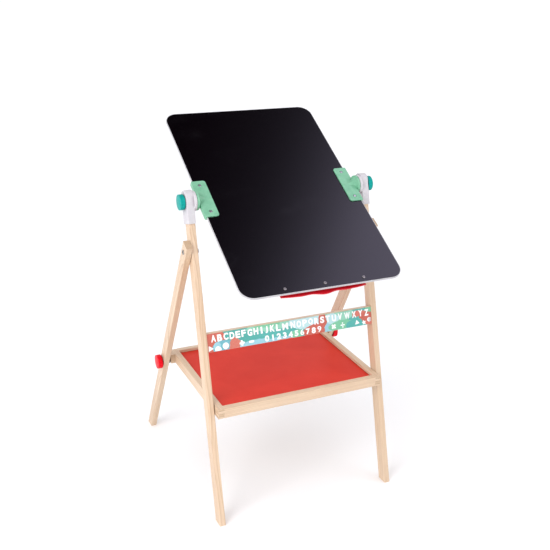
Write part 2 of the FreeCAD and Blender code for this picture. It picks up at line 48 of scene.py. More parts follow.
def turned(angle, x, n, u, origin=PIVOT):
    """Point from (across, rearward normal, up) of a frame turned about X, in mm."""
    c, s = math.cos(angle), math.sin(angle)
    return Vector((x * MM, (n * c - u * s) * MM, (n * s + u * c) * MM)) + origin


def up_of(angle):
    return Vector((0.0, -math.sin(angle), math.cos(angle)))


def back_of(angle):
    return Vector((0.0, math.cos(angle), math.sin(angle)))


# ---------------------------------------------------------------------------
# Node graphs
# ---------------------------------------------------------------------------
class Graph:
    """A material's node graph, built one call at a time."""

    def __init__(self, name):
        self.m = bpy.data.materials.new(name)
        self.m.use_nodes = True
        self.t = self.m.node_tree
        self.t.nodes.clear()
        self.out = self.t.nodes.new("ShaderNodeOutputMaterial")
        self.bsdf = self.t.nodes.new("ShaderNodeBsdfPrincipled")
        self.t.links.new(self.bsdf.outputs[0], self.out.inputs[0])
        self.coord = self.t.nodes.new("ShaderNodeTexCoord")

    def put(self, socket, value):
        if isinstance(value, bpy.types.NodeSocket):
            self.t.links.new(value, socket)
        elif isinstance(value, (tuple, list, Vector)) and len(value) == 3 and socket.type == "RGBA":
            socket.default_value = (*value, 1.0)
        else:
            socket.default_value = value

    def set(self, **kw):
        for k, v in kw.items():
            self.put(self.bsdf.inputs[k.replace("_", " ")], v)

    @property
    def p(self):
        return self.coord.outputs["Object"]

    @property
    def nrm(self):
        return self.coord.outputs["Normal"]

    def math(self, op, a, b=0.0, c=None, clamp=False):
        n = self.t.nodes.new("ShaderNodeMath")
        n.operation = op
        n.use_clamp = clamp
        self.put(n.inputs[0], a)
        self.put(n.inputs[1], b)
        if c is not None:
            self.put(n.inputs[2], c)
        return n.outputs[0]

    def vec(self, op, a, b=(0.0, 0.0, 0.0)):
        n = self.t.nodes.new("ShaderNodeVectorMath")
        n.operation = op
        self.put(n.inputs[0], a)
        if op == "SCALE":
            self.put(n.inputs["Scale"], b)
        else:
            self.put(n.inputs[1], b)
        return n.outputs["Value"] if op in ("DOT_PRODUCT", "LENGTH", "DISTANCE") else n.outputs[0]

    def xyz(self, x, y, z):
        n = self.t.nodes.new("ShaderNodeCombineXYZ")
        for i, v in enumerate((x, y, z)):
            self.put(n.inputs[i], v)
        return n.outputs[0]

    def split(self, v):
        n = self.t.nodes.new("ShaderNodeSeparateXYZ")
        self.put(n.inputs[0], v)
        return n.outputs

    def noise(self, v, scale, detail=2.0, rough=0.5, distort=0.0):
        n = self.t.nodes.new("ShaderNodeTexNoise")
        self.put(n.inputs["Vector"], v)
        n.inputs["Scale"].default_value = scale
        n.inputs["Detail"].default_value = detail
        n.inputs["Roughness"].default_value = rough
        n.inputs["Distortion"].default_value = distort
        return n.outputs["Fac"]

    def cells(self, v, scale, feature="F1", randomness=1.0, what="Distance"):
        n = self.t.nodes.new("ShaderNodeTexVoronoi")
        n.feature = feature
        self.put(n.inputs["Vector"], v)
        n.inputs["Scale"].default_value = scale
        n.inputs["Randomness"].default_value = randomness
        return n.outputs[what]

    def ramp(self, fac, stops, mode="LINEAR"):
        n = self.t.nodes.new("ShaderNodeValToRGB")
        n.color_ramp.interpolation = mode
        self.put(n.inputs[0], fac)
        e = n.color_ramp.elements
        while len(e) < len(stops):
            e.new(0.5)
        for el, (pos, col) in zip(e, stops):
            el.position = pos
            el.color = (*col, 1.0) if isinstance(col, (tuple, list)) else (col, col, col, 1.0)
        return n.outputs[0]

    def remap(self, v, a, b, c, d, smooth=False):
        n = self.t.nodes.new("ShaderNodeMapRange")
        if smooth:
            n.interpolation_type = "SMOOTHSTEP"
        self.put(n.inputs["Value"], v)
        for k, x in (("From Min", a), ("From Max", b), ("To Min", c), ("To Max", d)):
            self.put(n.inputs[k], x)
        return n.outputs[0]

    def mix(self, fac, a, b, blend="MIX"):
        n = self.t.nodes.new("ShaderNodeMix")
        n.data_type = "RGBA"
        n.blend_type = blend
        self.put(n.inputs["Factor"], fac)
        self.put(n.inputs[6], a)
        self.put(n.inputs[7], b)
        return n.outputs[2]

    def bump(self, height, distance, strength=1.0, normal=None):
        n = self.t.nodes.new("ShaderNodeBump")
        n.inputs["Strength"].default_value = strength
        n.inputs["Distance"].default_value = distance
        self.put(n.inputs["Height"], height)
        if normal is not None:
            self.put(n.inputs["Normal"], normal)
        return n.outputs[0]

    def cavity(self, reach, samples=4):
        """1 in tight recesses, 0 in the open; the mask for painted shade in recesses."""
        n = self.t.nodes.new("ShaderNodeAmbientOcclusion")
        n.samples = samples
        n.only_local = False
        n.inputs["Distance"].default_value = reach
        return self.remap(n.outputs["AO"], 0.25, 0.95, 1.0, 0.0)

    def edge(self, radius, samples=4):
        """0 on flat faces, towards 1 on edges tighter than the radius."""
        b = self.t.nodes.new("ShaderNodeBevel")
        b.samples = samples
        b.inputs["Radius"].default_value = radius
        g = self.t.nodes.new("ShaderNodeNewGeometry")
        d = self.vec("DOT_PRODUCT", b.outputs[0], g.outputs["Normal"])
        return self.remap(d, 0.995, 0.80, 0.0, 1.0), b.outputs[0]


def paint(material, *names):
    for n in names:
        o = NODES[n] if isinstance(n, str) else n
        o.data.materials.clear()
        o.data.materials.append(material)


# ---------------------------------------------------------------------------
# Pine: growth rings round a far pith, so sides, faces and end grain agree
# ---------------------------------------------------------------------------
def pine(name, axis, centre, pith=(0.045, 0.02), spacing=0.0030, tone=0.0, seed=0.0, twist=0.0, seams=False):
    """Clear-lacquered pine with its grain along an axis. The pith is off the bar's side."""
    g = Graph(name)
    w = Vector(axis).normalized()
    ref = Vector((1, 0, 0)) if abs(w.x) < 0.8 else Vector((0, 0, 1))
    u = (ref - w * ref.dot(w)).normalized()
    v = w.cross(u)
    c, s = math.cos(twist), math.sin(twist)
    u, v = u * c + v * s, v * c - u * s
    local = g.vec("SUBTRACT", g.p, centre)
    cu = g.vec("DOT_PRODUCT", local, u)
    cv = g.vec("DOT_PRODUCT", local, v)
    cw = g.vec("DOT_PRODUCT", local, w)
    shift = seed * 3.17
    # slow wander of the rings along the bar
    wander = g.noise(g.xyz(g.math("ADD", g.math("MULTIPLY", cu, 9.0), shift), g.math("MULTIPLY", cv, 9.0), g.math("MULTIPLY", cw, 2.6)), 1.0, 2.0, 0.55)
    ripple = g.noise(g.xyz(g.math("MULTIPLY", cu, 60.0), g.math("ADD", g.math("MULTIPLY", cv, 60.0), shift), g.math("MULTIPLY", cw, 9.0)), 1.0, 2.0, 0.5)
    ru = g.math("SUBTRACT", cu, pith[0])
    rv = g.math("SUBTRACT", cv, pith[1])
    radius = g.math("SQRT", g.math("ADD", g.math("MULTIPLY", ru, ru), g.math("MULTIPLY", rv, rv)))
    radius = g.math("ADD", radius, g.math("MULTIPLY", wander, 0.020))
    radius = g.math("ADD", radius, g.math("MULTIPLY", ripple, 0.0012))
    ring = g.math("FRACT", g.math("DIVIDE", radius, spacing))
    late = g.ramp(ring, [(0.0, 0.0), (0.42, 0.10), (0.74, 0.42), (0.90, 1.0), (0.955, 0.80), (1.0, 0.0)])
    # fibres: fine streaks along the grain
    fibre = g.noise(g.xyz(g.math("MULTIPLY", cu, 1500.0), g.math("MULTIPLY", cv, 1500.0), g.math("MULTIPLY", cw, 42.0)), 1.0, 3.0, 0.6)
    streak = g.noise(g.xyz(g.math("MULTIPLY", cu, 260.0), g.math("MULTIPLY", cv, 260.0), g.math("MULTIPLY", cw, 5.0)), 1.0, 2.0, 0.6)
    tonev = g.noise(g.xyz(g.math("ADD", g.math("MULTIPLY", cu, 14.0), shift), g.math("MULTIPLY", cv, 14.0), g.math("MULTIPLY", cw, 4.5)), 1.0, 1.0, 0.5)
    light, mid, dark = (0.775, 0.610, 0.450), (0.700, 0.525, 0.370), (0.470, 0.300, 0.180)
    if tone:
        light, mid, dark = (tuple(x * (1.0 - tone) for x in c) for c in (light, mid, dark))
    base = g.mix(g.remap(tonev, 0.32, 0.68, 0.0, 1.0), light, mid)
    base = g.mix(g.math("MULTIPLY", late, 0.66), base, dark)
    base = g.mix(g.remap(streak, 0.34, 0.70, 0.0, 0.34), base, dark)
    base = g.mix(g.remap(fibre, 0.52, 0.78, 0.0, 0.30), base, dark)
    # small resin flecks, long along the grain
    fleck = g.cells(g.xyz(g.math("MULTIPLY", cu, 320.0), g.math("MULTIPLY", cv, 320.0), g.math("MULTIPLY", cw, 24.0)), 1.0)
    base = g.mix(g.remap(fleck, 0.13, 0.05, 0.0, 0.35), base, (0.48, 0.30, 0.17))
    # end grain drinks the lacquer: darker and rougher
    endg = g.remap(g.math("ABSOLUTE", g.vec("DOT_PRODUCT", g.nrm, w)), 0.55, 0.85, 0.0, 1.0, True)
    pores = g.noise(g.vec("SCALE", local, 2600.0), 1.0, 1.0)
    base = g.mix(g.math("MULTIPLY", endg, 0.80), base, g.mix(g.remap(pores, 0.35, 0.65, 0.0, 1.0), (0.43, 0.285, 0.175), (0.60, 0.43, 0.29)))
    # painted highlight and wear: the colour is lighter along the edges
    edge, _ = g.edge(0.0011)
    base = g.mix(g.math("MULTIPLY", edge, 0.28), base, (0.90, 0.78, 0.63))
    if seams:
        # glue lines of the corner finger joints
        sx, sy, sz = g.split(g.p)[0], g.split(g.p)[1], g.split(g.p)[2]
        line = None
        for z in JOINT_LINES:
            d = g.remap(g.math("ABSOLUTE", g.math("SUBTRACT", sz, z)), 0.00022, 0.00060, 1.0, 0.0)
            line = d if line is None else g.math("MAXIMUM", line, d)
        corner = g.math("MULTIPLY", g.math("GREATER_THAN", g.math("ABSOLUTE", sx), 0.2030), g.math("LESS_THAN", sy, -0.1477 + AHEAD))
        base = g.mix(g.math("MULTIPLY", g.math("MULTIPLY", line, corner), 0.75), base, (0.22, 0.12, 0.06))
    g.set(Base_Color=base)
    rough = g.math("ADD", g.remap(fibre, 0.3, 0.7, 0.42, 0.56), g.math("MULTIPLY", endg, 0.18))
    g.set(Roughness=g.math("ADD", rough, g.math("MULTIPLY", late, -0.05)))
    g.bsdf.inputs["Coat Weight"].default_value = 0.18
    g.bsdf.inputs["Coat Roughness"].default_value = 0.38
    height = g.math("ADD", g.math("MULTIPLY", fibre, 0.6), g.math("MULTIPLY", late, 0.45))
    height = g.math("ADD", height, g.math("MULTIPLY", g.math("MULTIPLY", pores, endg), 0.9))
    g.set(Normal=g.bump(height, 0.00016, 0.7))
    return g.m


JOINT_LINES = (0.2597 + 0.0054, 0.2597 + 0.0128, 0.2597 + 0.0202)


def mid_of(name):
    lo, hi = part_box(name)
    return (lo + hi) / 2.0


FRONT_UP, REAR_UP = up_of(FRONT_A), up_of(REAR_A)
X, Y, Z = Vector((1, 0, 0)), Vector((0, 1, 0)), Vector((0, 0, 1))
bars = [
    ("front_left_leg", FRONT_UP, (0.035, 0.030), 0.0032, 0.00, 1.0, 0.3),
    ("front_right_leg", FRONT_UP, (-0.050, 0.012), 0.0029, 0.02, 4.0, -0.2),
    ("rear_left_leg", REAR_UP, (0.030, -0.036), 0.0027, 0.04, 7.0, 0.5),
    ("rear_right_leg", REAR_UP, (-0.028, 0.040), 0.0031, 0.03, 11.0, 0.1),
    ("crossbar", X, (0.012, 0.055), 0.0030, 0.01, 14.0, 0.2),
    ("tray_front_rail", X, (0.030, 0.040), 0.0031, 0.00, 17.0, -0.4),
    ("tray_back_rail", X, (-0.045, 0.020), 0.0028, 0.03, 21.0, 0.6),
    ("tray_left_rail", Y, (0.040, 0.025), 0.0030, 0.02, 24.0, 0.0),
    ("tray_right_rail", Y, (-0.038, 0.030), 0.0033, 0.01, 27.0, 0.9),
    ("tray_left_block", Y, (0.020, -0.034), 0.0029, 0.03, 33.0, 0.4),
    ("tray_right_block", Y, (-0.026, 0.030), 0.0030, 0.03, 37.0, 0.8),
]
for nm, axis, pith, spacing, tone, seed, twist in bars:
    paint(pine("pine_" + nm, axis, mid_of(nm), pith, spacing, tone, seed, twist, "rail" in nm), nm)
dowel_wood = pine("pine_dowels", X, Vector((0, 0, 0.4)), (0.02, 0.02), 0.0014, 0.10, 31.0)
paint(dowel_wood, "crossbar_dowels", "back_rail_dowels")


# ---------------------------------------------------------------------------
# Plastics, sheets and metals
# ---------------------------------------------------------------------------
def moulded(name, deep, pale, rough=0.34, grain=0.00003, grain_scale=1900.0, scatter=0.0, coat=0.0, wear=0.35, wear_to=None, edge_r=0.0009, painted_recess_shade=None, spec=0.5):
    """Injection-moulded plastic: fine spark texture, slight flow marks, rubbed edges."""
    g = Graph(name)
    flow = g.noise(g.vec("MULTIPLY", g.p, (1.0, 1.0, 1.6)), 42.0, 3.0, 0.55, 0.6)
    spark = g.noise(g.p, grain_scale, 2.0, 0.65)
    col = g.mix(g.remap(flow, 0.30, 0.70, 0.0, 1.0), deep, pale)
    edge, _ = g.edge(edge_r)
    # painted shade: the colour darkens toward the recess colour in tight recesses, using the occlusion mask
    if painted_recess_shade:
        col = g.mix(g.math("MULTIPLY", g.cavity(0.012), 0.85), col, painted_recess_shade)
    hi = wear_to or tuple(min(1.0, c * 0.75 + 0.25) for c in pale)
    col = g.mix(g.math("MULTIPLY", edge, wear), col, hi)
    scuff = g.noise(g.vec("MULTIPLY", g.p, (260.0, 900.0, 700.0)), 1.0, 4.0, 0.7)
    g.set(Base_Color=col)
    r = g.math("ADD", g.remap(spark, 0.3, 0.7, rough - 0.04, rough + 0.06), g.remap(scuff, 0.55, 0.75, 0.0, 0.10))
    g.set(Roughness=g.math("ADD", r, g.math("MULTIPLY", edge, 0.06)))
    g.set(Normal=g.bump(spark, grain, 0.8))
    g.bsdf.inputs["Specular IOR Level"].default_value = spec
    if scatter:
        g.bsdf.inputs["Subsurface Weight"].default_value = scatter
        g.bsdf.inputs["Subsurface Radius"].default_value = (0.004, 0.006, 0.005)
        g.bsdf.inputs["Subsurface Scale"].default_value = 1.0
    if coat:
        g.bsdf.inputs["Coat Weight"].default_value = coat
        g.bsdf.inputs["Coat Roughness"].default_value = 0.15
    return g.m


mint = moulded("moulded_mint", (0.165, 0.420, 0.270), (0.225, 0.505, 0.335), 0.36, spec=0.4, scatter=0.05, painted_recess_shade=(0.040, 0.240, 0.120))
white_cap = moulded("moulded_white", (0.54, 0.515, 0.55), (0.60, 0.575, 0.60), 0.36, scatter=0.04, wear=0.2, painted_recess_shade=(0.33, 0.30, 0.34))
teal = moulded("moulded_teal", (0.0, 0.285, 0.255), (0.0, 0.345, 0.310), 0.34, spec=0.16, wear=0.25, wear_to=(0.05, 0.46, 0.42), painted_recess_shade=(0.0, 0.10, 0.095))
red = moulded("moulded_red", (0.68, 0.001, 0.009), (0.76, 0.003, 0.014), 0.34, spec=0.16, wear=0.25, wear_to=(0.84, 0.05, 0.06), painted_recess_shade=(0.25, 0.002, 0.006))
clip_red = moulded("moulded_clip_red", (0.60, 0.008, 0.020), (0.68, 0.014, 0.028), 0.27, coat=0.2, wear_to=(0.85, 0.22, 0.20))
dark = moulded("moulded_dark", (0.045, 0.035, 0.033), (0.065, 0.052, 0.050), 0.42)
nylon = moulded("moulded_nylon", (0.74, 0.72, 0.66), (0.80, 0.78, 0.72), 0.40, scatter=0.10)
band = moulded("extruded_edge_band", (0.44, 0.43, 0.45), (0.52, 0.51, 0.53), 0.42, wear=0.10)

paint(mint, "left_board_bracket", "right_board_bracket")
paint(white_cap, "left_post_cap", "right_post_cap")
paint(teal, "left_teal_knob", "right_teal_knob")
paint(red, "left_red_knob", "right_red_knob")
paint(clip_red, "clip_base", "clip_lever")
paint(dark, "left_leg_collar", "right_leg_collar")
paint(nylon, "hinge_washers", "tray_pivot_washers")
paint(band, "board_edge_band")


def metal(name, colour, rough=0.28, line=(1.0, 1.0, 1.0), tint=None):
    """Plated steel: faint turning marks, spangle and small pits."""
    g = Graph(name)
    spangle = g.cells(g.p, 900.0, what="Color")
    sp = g.split(spangle)[0]
    brush = g.noise(g.vec("MULTIPLY", g.p, tuple(1800.0 * k for k in line)), 1.0, 3.0, 0.65)
    col = g.mix(g.remap(sp, 0.0, 1.0, 0.0, 0.35), colour, tuple(c * 0.82 for c in colour))
    if tint:
        col = g.mix(g.remap(brush, 0.35, 0.7, 0.0, 0.35), col, tint)
    g.set(Base_Color=col, Metallic=1.0)
    g.set(Roughness=g.math("ADD", g.remap(brush, 0.3, 0.7, rough - 0.06, rough + 0.10), g.math("MULTIPLY", sp, 0.05)))
    g.set(Normal=g.bump(brush, 0.00002, 0.7))
    return g.m


zinc = metal("zinc_plate", (0.72, 0.72, 0.735), 0.26)
spring = metal("spring_wire", (0.50, 0.50, 0.52), 0.34, (1.0, 0.3, 1.0), (0.36, 0.35, 0.37))
brass = metal("turned_brass", (0.80, 0.60, 0.28), 0.30, (1.0, 0.2, 1.0), (0.62, 0.42, 0.16))
# painted shade: a darker copy of the zinc plate for the hinge bolts, hinge nuts and clip screws
zinc_shaded = metal("zinc_plate_shaded", (0.46, 0.43, 0.41), 0.38)
paint(zinc_shaded, "hinge_bolts", "hinge_nuts", "clip_screws")
paint(zinc, "tray_pivot_bolts", "bracket_screws", "bracket_nuts", "left_pivot_bolt", "right_pivot_bolt",
      "clip_pin", "left_knob_stud", "right_knob_stud", "left_knob_washer", "right_knob_washer")
paint(spring, "clip_springs")
paint(brass, "tray_pivot_inserts", "left_teal_knob_insert", "right_teal_knob_insert")


def chalkboard():
    """Satin black coating: fine tooth, a few wiped chalk clouds, rubbed rim."""
    g = Graph("chalkboard_coating")
    up, back = up_of(BOARD_A), back_of(BOARD_A)
    local = g.vec("SUBTRACT", g.p, PIVOT)
    bu = g.vec("DOT_PRODUCT", local, up)
    bx = g.split(local)[0]
    wipe = g.noise(g.xyz(g.math("MULTIPLY", bx, 5.0), g.math("MULTIPLY", bu, 14.0), 0.0), 1.0, 5.0, 0.62, 0.8)
    wipe2 = g.noise(g.xyz(g.math("MULTIPLY", g.math("ADD", bx, g.math("MULTIPLY", bu, 0.7)), 26.0), g.math("MULTIPLY", bu, 3.5), 4.0), 1.0, 6.0, 0.7)
    tooth = g.noise(g.p, 2300.0, 2.0, 0.6)
    dust = g.math("MULTIPLY", g.remap(wipe, 0.50, 0.78, 0.0, 1.0, True), g.remap(wipe2, 0.42, 0.75, 0.15, 1.0))
    col = g.mix(g.math("MULTIPLY", dust, 0.010), (0.0010, 0.0001, 0.0007), (0.30, 0.29, 0.34))
    col = g.mix(g.remap(tooth, 0.35, 0.7, 0.0, 0.0015), col, (0.30, 0.29, 0.33))
    edge, _ = g.edge(0.0012)
    col = g.mix(g.math("MULTIPLY", edge, 0.10), col, (0.30, 0.30, 0.32))
    g.set(Base_Color=col)
    g.set(Roughness=g.math("ADD", g.remap(tooth, 0.3, 0.7, 0.115, 0.145), g.math("MULTIPLY", dust, 0.10)))
    g.bsdf.inputs["Specular IOR Level"].default_value = 0.5
    g.set(Normal=g.bump(tooth, 0.000010, 0.6))
    return g.m


def whiteboard():
    """Glossy dry-wipe enamel with faint marker ghosts and orange peel."""
    g = Graph("whiteboard_enamel")
    local = g.vec("SUBTRACT", g.p, PIVOT)
    bu = g.vec("DOT_PRODUCT", local, up_of(BOARD_A))
    bx = g.split(local)[0]
    ghost = g.noise(g.xyz(g.math("MULTIPLY", bx, 7.0), g.math("MULTIPLY", bu, 19.0), 2.0), 1.0, 5.0, 0.6, 1.2)
    peel = g.noise(g.p, 420.0, 2.0, 0.5)
    micro = g.noise(g.p, 2600.0, 1.0, 0.5)
    col = g.mix(g.remap(ghost, 0.52, 0.80, 0.0, 0.10, True), (0.86, 0.865, 0.875), (0.62, 0.66, 0.74))
    col = g.mix(g.remap(micro, 0.4, 0.7, 0.0, 0.05), col, (0.74, 0.74, 0.75))
    g.set(Base_Color=col)
    g.set(Roughness=g.math("ADD", g.remap(ghost, 0.4, 0.8, 0.13, 0.22), g.remap(micro, 0.3, 0.7, 0.0, 0.04)))
    g.bsdf.inputs["Coat Weight"].default_value = 0.4
    g.bsdf.inputs["Coat Roughness"].default_value = 0.08
    g.set(Normal=g.bump(peel, 0.00003, 0.6))
    return g.m


TRAY_Y = (-0.1477 + AHEAD, 0.1705 + AHEAD)


def red_film():
    """Satin red film on hardboard: print grain, fine scratches where things slide."""
    g = Graph("tray_red_film")
    tone = g.noise(g.p, 9.0, 3.0, 0.55, 0.4)
    weave = g.noise(g.vec("MULTIPLY", g.p, (520.0, 640.0, 500.0)), 1.0, 3.0, 0.6)
    rub = g.noise(g.vec("MULTIPLY", g.p, (38.0, 420.0, 1.0)), 1.0, 5.0, 0.7, 0.3)
    col = g.mix(g.remap(tone, 0.3, 0.7, 0.0, 1.0), (0.600, 0.028, 0.015), (0.670, 0.040, 0.022))
    col = g.mix(g.remap(weave, 0.45, 0.75, 0.0, 0.10), col, (0.42, 0.010, 0.010))
    col = g.mix(g.remap(rub, 0.62, 0.78, 0.0, 0.12), col, (0.78, 0.20, 0.16))
    # painted shade: a dark line on the panel where it meets the rails
    px, py, pz = g.split(g.p)[0], g.split(g.p)[1], g.split(g.p)[2]
    gap = g.math("MINIMUM", g.math("SUBTRACT", 0.203, g.math("ABSOLUTE", px)), g.math("MINIMUM", g.math("SUBTRACT", py, TRAY_Y[0]), g.math("SUBTRACT", TRAY_Y[1], py)))
    col = g.mix(g.remap(g.math("ADD", gap, g.math("MULTIPLY", weave, 0.0008)), 0.0010, 0.0026, 0.85, 0.0), col, (0.16, 0.020, 0.012))
    # the underside is bare hardboard with its pressed mesh
    mesh = g.math("MULTIPLY", g.math("SINE", g.math("MULTIPLY", px, 3600.0)), g.math("SINE", g.math("MULTIPLY", py, 3600.0)))
    fluff = g.noise(g.p, 900.0, 3.0, 0.7)
    bare = g.mix(g.remap(fluff, 0.3, 0.7, 0.0, 1.0), (0.235, 0.140, 0.080), (0.335, 0.215, 0.130))
    bare = g.mix(g.remap(mesh, 0.1, 0.9, 0.0, 0.35), bare, (0.16, 0.095, 0.055))
    under = g.remap(g.split(g.nrm)[2], -0.2, 0.2, 1.0, 0.0)
    col = g.mix(under, col, bare)
    g.set(Base_Color=col)
    g.bsdf.inputs["Specular IOR Level"].default_value = 0.10
    g.set(Roughness=g.math("ADD", g.math("ADD", g.remap(weave, 0.3, 0.7, 0.34, 0.42), g.remap(rub, 0.5, 0.8, 0.0, 0.12)), g.math("MULTIPLY", under, 0.4)))
    g.set(Normal=g.bump(weave, 0.00003, 0.7))
    return g.m


def fibreboard():
    g = Graph("core_fibreboard")
    fine = g.noise(g.p, 1300.0, 3.0, 0.7)
    broad = g.noise(g.p, 60.0, 3.0, 0.6)
    col = g.mix(g.remap(fine, 0.3, 0.7, 0.0, 1.0), (0.33, 0.22, 0.13), (0.47, 0.34, 0.22))
    col = g.mix(g.remap(broad, 0.4, 0.7, 0.0, 0.4), col, (0.40, 0.27, 0.16))
    g.set(Base_Color=col, Roughness=g.remap(fine, 0.3, 0.7, 0.72, 0.88))
    g.set(Normal=g.bump(fine, 0.00012, 0.9))
    return g.m


paint(chalkboard(), "chalkboard_face")
paint(whiteboard(), "whiteboard_face")
paint(red_film(), "tray_panel")
paint(fibreboard(), "board_core")


# ---------------------------------------------------------------------------
# Printed learning strip: soft colour fields, raised white letters and signs
# ---------------------------------------------------------------------------
STRIP_N = -11.5                          # front face of the strip
STRIP_TOP, STRIP_LOW = -309.2, -352.6
STRIP_MID = (STRIP_TOP + STRIP_LOW) / 2.0


def strip_print():
    g = Graph("strip_colour_fields")
    local = g.vec("SUBTRACT", g.p, PIVOT)
    u = g.math("SUBTRACT", g.math("MULTIPLY", g.vec("DOT_PRODUCT", local, FRONT_UP), 1000.0), STRIP_MID)
    x = g.math("MULTIPLY", g.split(local)[0], 1000.0)
    wob = g.math("MULTIPLY", g.math("SUBTRACT", g.noise(g.xyz(g.math("MULTIPLY", x, 0.035), g.math("MULTIPLY", u, 0.05), 0.0), 1.0, 2.0, 0.5), 0.5), 16.0)
    xw, uw = g.math("ADD", x, wob), g.math("ADD", u, g.math("MULTIPLY", wob, 0.8))
    orange, orange2 = (0.500, 0.085, 0.048), (0.560, 0.135, 0.090)
    green, mint_c, teal_c = (0.150, 0.490, 0.290), (0.240, 0.560, 0.420), (0.050, 0.370, 0.335)
    blue, aqua, sky = (0.255, 0.520, 0.600), (0.115, 0.385, 0.450), (0.430, 0.670, 0.690)
    col = g.mix(g.remap(x, -140.0, -60.0, 0.0, 1.0, True), (0.040, 0.330, 0.290), teal_c)
    # centre x, centre u, half width, half height, colour
    fields = [
        (-54.0, 18.0, 66.0, 11.5, mint_c),
        (-66.0, 20.0, 34.0, 6.5, green),
        (-98.0, -19.0, 46.0, 9.5, blue),
        (-40.0, -20.0, 60.0, 6.5, blue),
        (-212.0, 4.0, 40.0, 34.0, orange),
        (-182.0, -15.0, 27.0, 17.5, aqua),
        (-196.0, -9.0, 9.0, 9.0, blue),
        (-152.0, -14.0, 14.0, 18.0, orange2),
        (-24.0, -25.5, 26.0, 5.5, orange2),
        (34.0, 13.0, 46.0, 17.0, sky),
        (10.0, -13.0, 20.0, 10.0, green),
        (128.0, 14.0, 44.0, 15.0, mint_c),
        (106.0, 8.0, 22.0, 14.0, sky),
        (92.0, -15.0, 24.0, 15.0, blue),
        (138.0, -14.0, 42.0, 15.0, green),
        (58.0, -14.0, 30.0, 17.0, orange),
        (82.0, 8.0, 12.0, 19.0, orange),
        (186.0, 10.0, 22.0, 9.0, orange2),
        (204.0, 0.0, 22.0, 13.0, orange),
        (172.0, -15.0, 26.0, 13.0, teal_c),
        (214.0, -16.0, 14.0, 9.0, orange2),
        (217.0, 19.0, 14.0, 9.0, green),
    ]
    for cx, cu, a, b, c in fields:
        dx = g.math("DIVIDE", g.math("SUBTRACT", xw, cx), a)
        du = g.math("DIVIDE", g.math("SUBTRACT", uw, cu), b)
        d = g.math("ADD", g.math("MULTIPLY", dx, dx), g.math("MULTIPLY", du, du))
        col = g.mix(g.remap(d, 1.0, 0.97, 0.0, 1.0), col, c)
    dots = g.cells(g.xyz(g.math("MULTIPLY", x, 2.1), g.math("MULTIPLY", u, 2.1), 0.0), 1.0)
    ink = g.noise(g.p, 900.0, 3.0, 0.6)
    col = g.mix(g.remap(ink, 0.4, 0.75, 0.0, 0.12), col, (0.90, 0.92, 0.90))
    col = g.mix(g.remap(dots, 0.25, 0.10, 0.0, 0.05), col, (0.10, 0.22, 0.22))
    edge, _ = g.edge(0.0008)
    col = g.mix(g.math("MULTIPLY", edge, 0.6), col, (0.86, 0.80, 0.68))
    g.set(Base_Color=col)
    g.set(Roughness=g.remap(ink, 0.3, 0.7, 0.30, 0.40))
    g.set(Normal=g.bump(ink, 0.00002, 0.7))
    return g.m


paint(strip_print(), "alphabet_panel")


def white_ink():
    g = Graph("raised_white_ink")
    peel = g.noise(g.p, 1100.0, 2.0, 0.55)
    soft = g.noise(g.p, 120.0, 2.0, 0.5)
    col = g.mix(g.remap(soft, 0.3, 0.7, 0.0, 1.0), (0.86, 0.86, 0.86), (0.93, 0.93, 0.925))
    col = g.mix(g.remap(peel, 0.5, 0.8, 0.0, 0.15), col, (0.80, 0.82, 0.81))
    g.set(Base_Color=col, Roughness=g.remap(peel, 0.3, 0.7, 0.34, 0.44))
    g.set(Normal=g.bump(peel, 0.00003, 0.7))
    return g.m


INK = white_ink()
INK_UP = 0.16                            # print height over the strip, mm
STRIP_M = Matrix((
    (1.0, 0.0, 0.0, 0.0),
    (0.0, FRONT_UP.y, -back_of(FRONT_A).y, 0.0),
    (0.0, FRONT_UP.z, -back_of(FRONT_A).z, 0.0),
    (0.0, 0.0, 0.0, 1.0),
))


def on_strip(x, u):
    """Matrix that puts a flat drawing in mm (x right, y up, z out) on the strip, its middle at (x, u)."""
    at = turned(FRONT_A, x, STRIP_N, STRIP_TOP - u)
    return Matrix.Translation(at) @ STRIP_M @ Matrix.Scale(MM, 4)


def glyph(bm, char, x, top, height, width, lean=0.0):
    """One bold rounded character from the built-in face, fitted to a box on the strip."""
    cu = bpy.data.curves.new("glyph", "FONT")
    cu.body = char
    cu.size = 1.0
    cu.offset = 0.024 if char in "69" else 0.046
    cu.resolution_u = 6
    cu.extrude = 0.5
    ob = bpy.data.objects.new("glyph", cu)
    bpy.context.scene.collection.objects.link(ob)
    dg = bpy.context.evaluated_depsgraph_get()
    me = bpy.data.meshes.new_from_object(ob.evaluated_get(dg))
    bpy.data.objects.remove(ob)
    bpy.data.curves.remove(cu)
    xs = [v.co.x for v in me.vertices]
    ys = [v.co.y for v in me.vertices]
    x0, x1, y0, y1 = min(xs), max(xs), min(ys), max(ys)
    sy = height / (y1 - y0)
    sx = min(width / (x1 - x0), sy * 1.15)
    for v in me.vertices:
        lx = (v.co.x - (x0 + x1) / 2) * sx
        ly = (v.co.y - (y0 + y1) / 2) * sy
        lz = INK_UP if v.co.z > 0 else -0.05
        v.co = (lx, ly, lz)
    me.transform(on_strip(x, top + height / 2) @ Matrix.Rotation(lean, 4, "Z"))
    bm.from_mesh(me)
    bpy.data.meshes.remove(me)


def slab(bm, outline, x, u, lean=0.0):
    """A closed flat shape from an outline in mm, raised like the letters."""
    m = on_strip(x, u) @ Matrix.Rotation(lean, 4, "Z")
    top = [bm.verts.new(m @ Vector((a, b, INK_UP))) for a, b in outline]
    low = [bm.verts.new(m @ Vector((a, b, -0.05))) for a, b in outline]
    bm.faces.new(top)
    bm.faces.new(list(reversed(low)))
    n = len(outline)
    for i in range(n):
        j = (i + 1) % n
        bm.faces.new((top[j], top[i], low[i], low[j]))


def circle(r, n=28, cx=0.0, cy=0.0, a0=0.0, a1=2 * math.pi, closed=True):
    k = n if closed else n + 1
    return [(cx + r * math.cos(a0 + (a1 - a0) * i / n), cy + r * math.sin(a0 + (a1 - a0) * i / n)) for i in range(k)]


